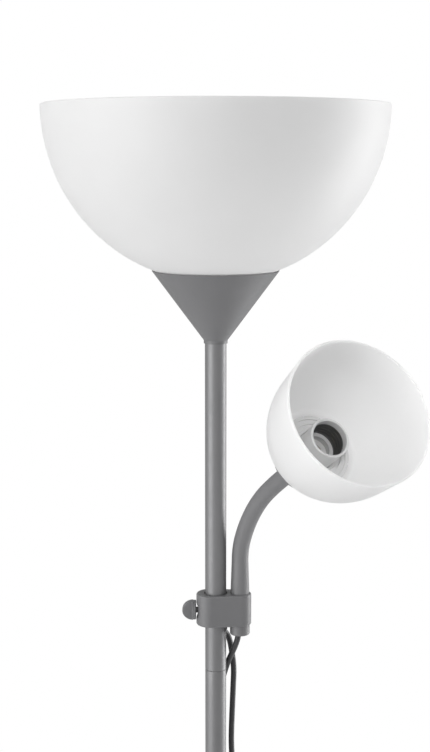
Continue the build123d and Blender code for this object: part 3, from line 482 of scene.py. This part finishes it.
def make_cords(sheath):
    """The reading light's lead bends with the clamp on the real lamp; here it is two meshes, hung on no
    body. The other cords stand still.
    """
    upper_line = line_of(lead_upper_route)
    upper = tube_mesh("lead_top", upper_line, cable_r * MM)
    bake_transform(upper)
    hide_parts("lead_upper")

    lower_line = line_of(lead_lower_route)
    lower = tube_mesh("lead_run", lower_line, cable_r * MM)
    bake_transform(lower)
    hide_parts("lead_lower")

    flex = nurbs("flex_run", flex_upper_route, cable_r)
    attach(flex, "stand")
    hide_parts("flex_upper")
    line_of(flex_upper_route)

    route = mains_route()
    mains = nurbs("mains_run", route, cable_r)
    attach(mains, "stand")
    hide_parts("flex_lower", "flex_coil")
    line_of(route)

    for obj in (upper, lower, flex, mains):
        obj.data.materials.append(sheath)


# ---------------------------------------------------------------- material nodes
def shader(name, colour, roughness, **sockets):
    """A Principled material and the parts that its textures hang on."""
    mat = bpy.data.materials.new(name)
    mat.use_nodes = True
    tree = mat.node_tree
    bsdf = tree.nodes["Principled BSDF"]
    bsdf.inputs["Base Color"].default_value = (*colour, 1.0)
    bsdf.inputs["Roughness"].default_value = roughness
    for key, value in sockets.items():
        bsdf.inputs[key.replace("_", " ")].default_value = value
    return mat, tree, bsdf


def noise(tree, scale, detail, stretch=(1, 1, 1)):
    """Fine noise in the object's own coordinates, in metres."""
    coords = tree.nodes.new("ShaderNodeTexCoord")
    mapping = tree.nodes.new("ShaderNodeMapping")
    mapping.inputs["Scale"].default_value = stretch
    tex = tree.nodes.new("ShaderNodeTexNoise")
    tex.inputs["Scale"].default_value = scale
    tex.inputs["Detail"].default_value = detail
    tree.links.new(coords.outputs["Object"], mapping.inputs["Vector"])
    tree.links.new(mapping.outputs["Vector"], tex.inputs["Vector"])
    return tex.outputs["Fac"]


noise_low, noise_high = 0.3, 0.7


def vary(tree, source, socket, low, high):
    """Feeds a socket with a number that follows the texture between low and high."""
    ramp = tree.nodes.new("ShaderNodeMapRange")
    ramp.inputs["From Min"].default_value = noise_low
    ramp.inputs["From Max"].default_value = noise_high
    ramp.inputs["To Min"].default_value = low
    ramp.inputs["To Max"].default_value = high
    tree.links.new(source, ramp.inputs["Value"])
    tree.links.new(ramp.outputs["Result"], socket)


def tint(tree, source, socket, dark, light):
    """Feeds a colour socket with a mix of two colours that follows the texture."""
    ramp = tree.nodes.new("ShaderNodeValToRGB")
    ramp.color_ramp.elements[0].position = noise_low
    ramp.color_ramp.elements[1].position = noise_high
    ramp.color_ramp.elements[0].color = (*dark, 1.0)
    ramp.color_ramp.elements[1].color = (*light, 1.0)
    tree.links.new(source, ramp.inputs["Fac"])
    tree.links.new(ramp.outputs["Color"], socket)


def bump(tree, bsdf, source, distance):
    """Raises the surface by the texture, distance metres at most."""
    node = tree.nodes.new("ShaderNodeBump")
    node.inputs["Strength"].default_value = 1.0
    node.inputs["Distance"].default_value = distance
    tree.links.new(source, node.inputs["Height"])
    tree.links.new(node.outputs["Normal"], bsdf.inputs["Normal"])


def scaled(colour, k):
    return tuple(min(1.0, c * k) for c in colour)


def paint(name, colour, roughness, grain, depth, mottle, **sockets):
    """A coloured surface with a fine grain, soft mottling and uneven gloss."""
    mat, tree, bsdf = shader(name, colour, roughness, **sockets)
    mottle_scale, gloss_scale, gloss_spread = 28.0, 90.0, 0.05
    tint(tree, noise(tree, mottle_scale, 2.0), bsdf.inputs["Base Color"],
         scaled(colour, 1 - mottle), scaled(colour, 1 + mottle))
    vary(tree, noise(tree, gloss_scale, 4.0), bsdf.inputs["Roughness"],
         roughness - gloss_spread, roughness + gloss_spread)
    bump(tree, bsdf, noise(tree, grain, 3.0), depth)
    return mat


def metal(name, colour, roughness, scale, depth, wear, brush=(1, 1, 1), metallic=1.0):
    """A metal surface whose gloss and height follow the same streaks."""
    mat, tree, bsdf = shader(name, colour, roughness, Metallic=metallic)
    wear_scale, duller, glossier = 60.0, 0.10, 0.08
    tint(tree, noise(tree, wear_scale, 4.0), bsdf.inputs["Base Color"],
         scaled(colour, 1 - wear), scaled(colour, 1 + wear))
    streak = noise(tree, scale, 4.0, brush)
    vary(tree, streak, bsdf.inputs["Roughness"], roughness - glossier, roughness + duller)
    bump(tree, bsdf, streak, depth)
    return mat


def let_light_through(mat, colour, share):
    """Mixes in a part of the light that falls on the far side, as opal plastic passes it."""
    tree = mat.node_tree
    through = tree.nodes.new("ShaderNodeBsdfTranslucent")
    through.inputs["Color"].default_value = (*colour, 1.0)
    mix = tree.nodes.new("ShaderNodeMixShader")
    mix.inputs[0].default_value = share
    tree.links.new(tree.nodes["Principled BSDF"].outputs[0], mix.inputs[1])
    tree.links.new(through.outputs[0], mix.inputs[2])
    tree.links.new(mix.outputs[0], tree.nodes["Material Output"].inputs["Surface"])


# ---------------------------------------------------------------- materials
pole_paint = paint("pole_paint", (0.225, 0.225, 0.23), 0.42, 1500.0, 0.000008, 0.02, Metallic=0.42)
part_paint = paint("part_paint", (0.165, 0.165, 0.170), 0.42, 1800.0, 0.00010, 0.03)
sleeve_paint = paint("sleeve_paint", (0.175, 0.175, 0.180), 0.50, 2200.0, 0.00010, 0.03)
white_shade = paint("white_shade", (0.81, 0.81, 0.81), 0.42, 900.0, 0.00004, 0.008)
let_light_through(white_shade, (0.93, 0.93, 0.93), 0.40)
holder_grey = paint("holder_grey", (0.60, 0.60, 0.60), 0.48, 1600.0, 0.00008, 0.03)
cord_pvc = paint("cord_pvc", (0.045, 0.045, 0.048), 0.42, 2600.0, 0.00008, 0.08)
dark_case = paint("dark_case", (0.035, 0.035, 0.038), 0.46, 2400.0, 0.00012, 0.06)
rocker_face = paint("rocker_face", (0.030, 0.030, 0.032), 0.30, 1800.0, 0.00004, 0.05)
black_rubber = paint("black_rubber", (0.020, 0.020, 0.020), 0.75, 900.0, 0.00025, 0.10)
natural_nylon = paint("natural_nylon", (0.62, 0.61, 0.57), 0.45, 1200.0, 0.00006, 0.03)
zinc = metal("zinc", (0.62, 0.62, 0.60), 0.32, 900.0, 0.00003, 0.08, brush=(1, 1, 0.15))
# Nickel painted far darker than plated nickel: painted shade for the deep inside of the lampholder mouths,
# which the fill light would leave too bright. The plug pins share this colour.
nickel_with_painted_shade = metal("nickel_with_painted_shade", (0.20, 0.20, 0.20), 0.42, 300.0, 0.00002, 0.03)
bare_brass = metal("bare_brass", (0.36, 0.31, 0.22), 0.42, 400.0, 0.00002, 0.05)
casting = metal("casting", (0.12, 0.115, 0.11), 0.72, 260.0, 0.0005, 0.25, metallic=0.35)

SURFACES = {
    pole_paint: ["pole_section_1", "pole_section_2", "pole_section_3", "pole_section_4",
                 "pole_section_5", "base_cover"],
    part_paint: ["shade_cone", "clamp_bracket", "arm_nut", "thumb_screw_head", "thumb_screw_shank",
                 "head_cap", "pole_foot"],
    sleeve_paint: ["head_ferrule", "arm_boot", "neck_segment_1", "neck_segment_2", "neck_segment_3",
                   "neck_segment_4", "neck_segment_5", "neck_segment_6"],
    white_shade: ["bowl_shade", "reading_shade"],
    holder_grey: ["uplight_holder", "reading_holder", "uplight_shade_ring", "reading_shade_ring"],
    cord_pvc: ["lead_upper", "lead_lower", "flex_upper", "flex_lower", "flex_coil", "inner_cable"],
    dark_case: ["switch_front", "switch_back", "switch_reliefs", "plug_body", "cable_grommet"],
    rocker_face: ["switch_rocker_1", "switch_rocker_2"],
    black_rubber: ["base_pad", "coil_ties"],
    natural_nylon: ["clamp_liner", "screw_pad"],
    zinc: ["lock_nuts", "base_stud", "top_nipple", "head_nipple", "arm_stud", "base_plate",
           "pole_joiners", "pole_top_plug", "switch_screws"],
    nickel_with_painted_shade: ["uplight_thread_shell", "reading_thread_shell", "plug_pins"],
    bare_brass: ["screw_insert", "uplight_centre_contact", "reading_centre_contact"],
    casting: ["base_weight"],
}


def dress():
    """Each CAD node gets its surface and smooth shading."""
    corner_deg = 28
    for mat, names in SURFACES.items():
        for name in names:
            node = NODES[name]
            node.data.materials.clear()
            node.data.materials.append(mat)
            soften(node, corner_deg)
    left = sorted(set(NODES) - {name for names in SURFACES.values() for name in names})
    if left:
        raise RuntimeError(f"no surface for {left}")


# ---------------------------------------------------------------- stage and light
def world_light(level):
    """An even white surround: full white to the eye, dimmer as light."""
    world = bpy.data.worlds.new("world")
    bpy.context.scene.world = world
    world.use_nodes = True
    tree = world.node_tree
    back = tree.nodes["Background"]
    back.inputs["Color"].default_value = (1, 1, 1, 1)
    back.inputs["Strength"].default_value = level
    seen = tree.nodes.new("ShaderNodeBackground")
    seen.inputs["Color"].default_value = (1, 1, 1, 1)
    seen.inputs["Strength"].default_value = 1.0
    path = tree.nodes.new("ShaderNodeLightPath")
    either = tree.nodes.new("ShaderNodeMath")
    either.operation = "MAXIMUM"
    tree.links.new(path.outputs["Is Camera Ray"], either.inputs[0])
    tree.links.new(path.outputs["Is Transmission Ray"], either.inputs[1])
    mix = tree.nodes.new("ShaderNodeMixShader")
    tree.links.new(either.outputs[0], mix.inputs[0])
    tree.links.new(back.outputs[0], mix.inputs[1])
    tree.links.new(seen.outputs[0], mix.inputs[2])
    tree.links.new(mix.outputs[0], tree.nodes["World Output"].inputs["Surface"])


def make_floor():
    """A pale floor that keeps the shadow and fades to plain white away from the lamp."""
    half, fade_from, fade_to = 4.0, 0.45, 1.3
    floor = add_mesh("floor", [(-half, -half, 0), (half, -half, 0), (half, half, 0), (-half, half, 0)],
                     [(0, 1, 2, 3)], smooth=False)
    mat, tree, bsdf = shader("floor_pale", (0.86, 0.86, 0.86), 0.7)
    glow = tree.nodes.new("ShaderNodeEmission")
    glow.inputs["Strength"].default_value = 1.0
    coords = tree.nodes.new("ShaderNodeTexCoord")
    length = tree.nodes.new("ShaderNodeVectorMath")
    length.operation = "LENGTH"
    tree.links.new(coords.outputs["Object"], length.inputs[0])
    fade = tree.nodes.new("ShaderNodeMapRange")
    fade.interpolation_type = "SMOOTHSTEP"
    fade.inputs["From Min"].default_value = fade_from
    fade.inputs["From Max"].default_value = fade_to
    tree.links.new(length.outputs["Value"], fade.inputs["Value"])
    path = tree.nodes.new("ShaderNodeLightPath")
    seen = tree.nodes.new("ShaderNodeMath")
    seen.operation = "MULTIPLY"
    tree.links.new(fade.outputs["Result"], seen.inputs[0])
    tree.links.new(path.outputs["Is Camera Ray"], seen.inputs[1])
    mix = tree.nodes.new("ShaderNodeMixShader")
    tree.links.new(seen.outputs[0], mix.inputs[0])
    tree.links.new(bsdf.outputs[0], mix.inputs[1])
    tree.links.new(glow.outputs[0], mix.inputs[2])
    tree.links.new(mix.outputs[0], tree.nodes["Material Output"].inputs["Surface"])
    floor.data.materials.append(mat)


def hang_light(data, place, target):
    lamp = bpy.data.objects.new(data.name, data)
    bpy.context.scene.collection.objects.link(lamp)
    lamp.location = place
    lamp.rotation_euler = (Vector(target) - Vector(place)).to_track_quat("-Z", "Y").to_euler()


def area_light(name, place, target, width, height, power):
    data = bpy.data.lights.new(name, "AREA")
    data.shape = "RECTANGLE"
    data.size, data.size_y = width, height
    data.energy = power
    hang_light(data, place, target)


def spot_light(name, place, target, cone, power):
    data = bpy.data.lights.new(name, "SPOT")
    data.spot_size, data.spot_blend = math.radians(cone), 0.9
    data.shadow_soft_size = 0.12
    data.energy = power
    hang_light(data, place, target)


# ---------------------------------------------------------------- the scene
make_camera()
dress()
make_bowl().data.materials.append(white_shade)
make_reading_shade().data.materials.append(white_shade)
make_pole_sections(pole_paint)
# The thread shells take the darkened nickel, painted shade for the inside of the lampholder mouths.
make_thread_shell("uplight_thread", at_height(bowl_seat), "uplight_thread_shell", "stand", nickel_with_painted_shade)
make_thread_shell("reading_thread", HEAD, "reading_thread_shell", "reading_head", nickel_with_painted_shade)
make_sleeve(sleeve_paint)
make_cords(cord_pvc)

world_light(0.43)
make_floor()
area_light("key", (-2.45, -1.5, 1.5), (0, 0, 1.3), 2.6, 2.8, 60.0)
area_light("edge", (2.3, 0.80, 1.35), (0, 0, 1.4), 1.7, 2.8, 60.0)
area_light("top", (0.2, -0.4, 3.6), (0, 0, 1.2), 2.0, 2.0, 14.0)
spot_light("shade_fill", (0.12, -1.75, 2.35), (0.11, -0.16, 1.56), 9.0, 70.0)

bpy.context.scene.view_settings.view_transform = "Standard"
